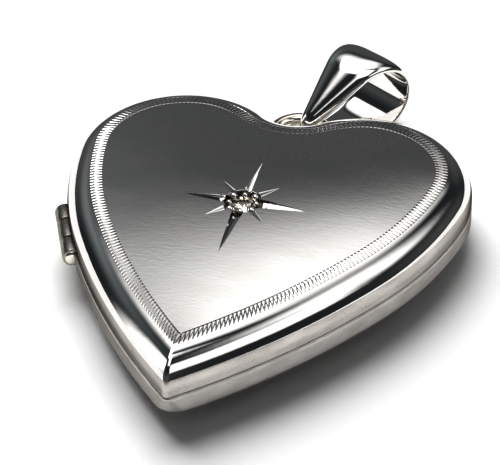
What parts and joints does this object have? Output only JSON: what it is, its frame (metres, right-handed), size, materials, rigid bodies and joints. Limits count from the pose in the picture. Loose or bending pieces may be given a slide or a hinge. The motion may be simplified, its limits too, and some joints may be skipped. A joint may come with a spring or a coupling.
{
  "type": "heart locket",
  "caption": "Heart-shaped hinged locket with a star-set stone, two photo frames inside and a swinging bail for a chain.",
  "frame": {"origin": "centre of the flat back face that the closed locket rests on, level with the middle of the heart's height", "axes": "+Z out of the front face, -Y towards the heart's tip, +Y towards the cleft and the bail, the hinge on the -X side"},
  "size_m": [0.02, 0.0283, 0.0046],
  "materials": {
    "satin_silver": "satin silver dome with a mirror-polished shoulder",
    "polished_silver": "polished sterling silver",
    "stone": "faceted colourless stone",
    "window": "thin clear acetate",
    "card": "blank photo card"
  },
  "bodies": {
    "back_half": {"back_cover": "polished_silver", "closing_rim": "polished_silver", "back_photo_frame": "polished_silver", "back_window": "window", "back_photo_card": "card", "hinge_knuckle_upper": "polished_silver", "hinge_knuckle_lower": "polished_silver", "hinge_pin": "polished_silver", "bail_ring": "polished_silver"},
    "front_half": {"front_cover": "satin_silver", "front_photo_frame": "polished_silver", "front_window": "window", "front_photo_card": "card", "stone_seat": "polished_silver", "stone": "stone", "hinge_knuckle_middle": "polished_silver"},
    "bail": {"bail": "polished_silver"}
  },
  "joints": [
    {"name": "cover_hinge", "type": "hinge", "parent": "back_half", "child": "front_half", "pos_m": [-0.00831, -0.00067, 0.00205], "axis": [0.4462, -0.8949, 0], "range_deg": [0, 180]},
    {"name": "bail_swing", "type": "hinge", "parent": "back_half", "child": "bail", "pos_m": [0.00072, 0.01207, 0.0016], "axis": [0.8572, -0.515, 0], "range_deg": [-120, 85]}
  ]
}
